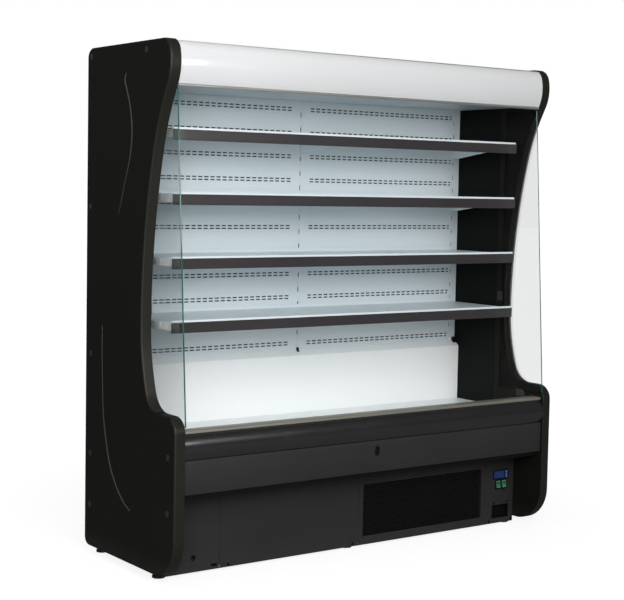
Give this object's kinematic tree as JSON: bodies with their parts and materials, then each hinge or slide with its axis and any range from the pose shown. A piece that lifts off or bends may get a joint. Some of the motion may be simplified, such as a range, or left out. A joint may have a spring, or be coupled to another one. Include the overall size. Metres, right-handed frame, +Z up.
{
  "type": "open multideck display fridge",
  "caption": "Tall open-fronted chiller cabinet with curved side panels, lift-out shelves, deck, canopy and a cooling unit in its base.",
  "frame": {"origin": "on the floor under the middle of the cabinet's footprint", "axes": "+X to the right seen from the open front, +Y towards the back, +Z up"},
  "size_m": [1.9024, 0.71, 2.01],
  "materials": {
    "black_moulding": "satin",
    "dark_lining": "satin",
    "cap_plastic": "satin",
    "clear_glass": "gloss",
    "clip_steel": "satin",
    "canopy_white": "gloss",
    "trim_aluminium": "satin",
    "grey_plastic": "satin",
    "lamp_cover": "satin",
    "outer_steel": "satin",
    "foam": "matte",
    "white_steel": "satin",
    "bumper_plastic": "satin",
    "fascia_paint": "satin",
    "black_plastic": "satin",
    "display_blue": "gloss",
    "button_plastic": "satin",
    "rocker_green": "gloss",
    "strip_plastic": "satin",
    "frame_steel": "satin",
    "foot_plastic": "satin",
    "compressor_paint": "satin",
    "coil_aluminium": "satin",
    "motor_steel": "satin",
    "copper": "satin"
  },
  "bodies": {
    "cabinet": {"side_panel_left": "black_moulding", "side_panel_right": "black_moulding", "side_linings": "dark_lining", "screw_caps": "cap_plastic", "glass_left": "clear_glass", "glass_right": "clear_glass", "glass_clips": "clip_steel", "canopy_front": "canopy_white", "canopy_trims": "trim_aluminium", "air_grille": "grey_plastic", "canopy_lamp": "lamp_cover", "outer_skins": "outer_steel", "rear_vent_cover": "outer_steel", "insulation_cores": "foam", "tank_liner": "white_steel", "back_panel_left": "white_steel", "back_panel_right": "white_steel", "lower_back_panel": "white_steel", "uprights": "white_steel", "shelf_brackets": "white_steel", "intake_grille": "white_steel", "front_profile": "trim_aluminium", "bumper": "bumper_plastic", "fascia": "fascia_paint", "fascia_catch": "black_plastic", "kick_panel_left": "fascia_paint", "kick_panel_middle": "fascia_paint", "grille_panel": "fascia_paint", "control_panel": "fascia_paint", "recess_cup": "black_plastic", "controller_case": "black_plastic", "display_window": "display_blue", "base_frame": "frame_steel", "levelling_feet": "foot_plastic", "compressor": "compressor_paint", "condenser_coil": "coil_aluminium", "evaporator_coil": "coil_aluminium", "fan_motors": "motor_steel", "fan_plate": "outer_steel", "condensate_tray": "black_plastic", "refrigerant_pipes": "copper", "cable_gland": "black_plastic"},
    "shelf_1": {"shelf_tray_1": "white_steel", "price_strip_1": "strip_plastic"},
    "shelf_2": {"shelf_tray_2": "white_steel", "price_strip_2": "strip_plastic"},
    "shelf_3": {"shelf_tray_3": "white_steel", "price_strip_3": "strip_plastic"},
    "shelf_4": {"shelf_tray_4": "white_steel", "price_strip_4": "strip_plastic"},
    "deck_left": {"deck_tray_left": "white_steel"},
    "deck_right": {"deck_tray_right": "white_steel"},
    "condenser_fan": {"condenser_fan": "black_plastic"},
    "evaporator_fan_1": {"evaporator_fan_1": "black_plastic"},
    "evaporator_fan_2": {"evaporator_fan_2": "black_plastic"},
    "button_1": {"controller_button_1": "button_plastic"},
    "button_2": {"controller_button_2": "button_plastic"},
    "button_3": {"controller_button_3": "button_plastic"},
    "rocker_1": {"rocker_switch_1": "rocker_green"},
    "rocker_2": {"rocker_switch_2": "rocker_green"}
  },
  "joints": [
    {"name": "shelf_1_lift", "type": "slide", "parent": "cabinet", "child": "shelf_1", "axis": [0, 0, 1], "range_m": [0, 0.08]},
    {"name": "shelf_2_lift", "type": "slide", "parent": "cabinet", "child": "shelf_2", "axis": [0, 0, 1], "range_m": [0, 0.08]},
    {"name": "shelf_3_lift", "type": "slide", "parent": "cabinet", "child": "shelf_3", "axis": [0, 0, 1], "range_m": [0, 0.08]},
    {"name": "shelf_4_lift", "type": "slide", "parent": "cabinet", "child": "shelf_4", "axis": [0, 0, 1], "range_m": [0, 0.08]},
    {"name": "deck_left_lift", "type": "slide", "parent": "cabinet", "child": "deck_left", "axis": [0, 0, 1], "range_m": [0, 0.06]},
    {"name": "deck_right_lift", "type": "slide", "parent": "cabinet", "child": "deck_right", "axis": [0, 0, 1], "range_m": [0, 0.06]},
    {"name": "condenser_fan_spin", "type": "hinge", "parent": "cabinet", "child": "condenser_fan", "pos_m": [0.39, -0.0635, 0.1783], "axis": [0, 1, 0], "continuous": true},
    {"name": "evaporator_fan_1_spin", "type": "hinge", "parent": "cabinet", "child": "evaporator_fan_1", "pos_m": [-0.42, -0.078, 0.4415], "axis": [0, 1, 0], "continuous": true},
    {"name": "evaporator_fan_2_spin", "type": "hinge", "parent": "cabinet", "child": "evaporator_fan_2", "pos_m": [0.42, -0.078, 0.4415], "axis": [0, 1, 0], "continuous": true},
    {"name": "button_1_press", "type": "slide", "parent": "cabinet", "child": "button_1", "axis": [0, 1, 0], "range_m": [0, 0.0008], "stiffness_N_per_m": 250, "springref_m": -0.0006},
    {"name": "button_2_press", "type": "slide", "parent": "cabinet", "child": "button_2", "axis": [0, 1, 0], "range_m": [0, 0.0008], "stiffness_N_per_m": 250, "springref_m": -0.0006},
    {"name": "button_3_press", "type": "slide", "parent": "cabinet", "child": "button_3", "axis": [0, 1, 0], "range_m": [0, 0.0008], "stiffness_N_per_m": 250, "springref_m": -0.0006},
    {"name": "rocker_1_tip", "type": "hinge", "parent": "cabinet", "child": "rocker_1", "pos_m": [0.812, -0.177, 0.183], "axis": [1, 0, 0], "range_deg": [0, 14]},
    {"name": "rocker_2_tip", "type": "hinge", "parent": "cabinet", "child": "rocker_2", "pos_m": [0.846, -0.177, 0.183], "axis": [1, 0, 0], "range_deg": [0, 14]}
  ]
}
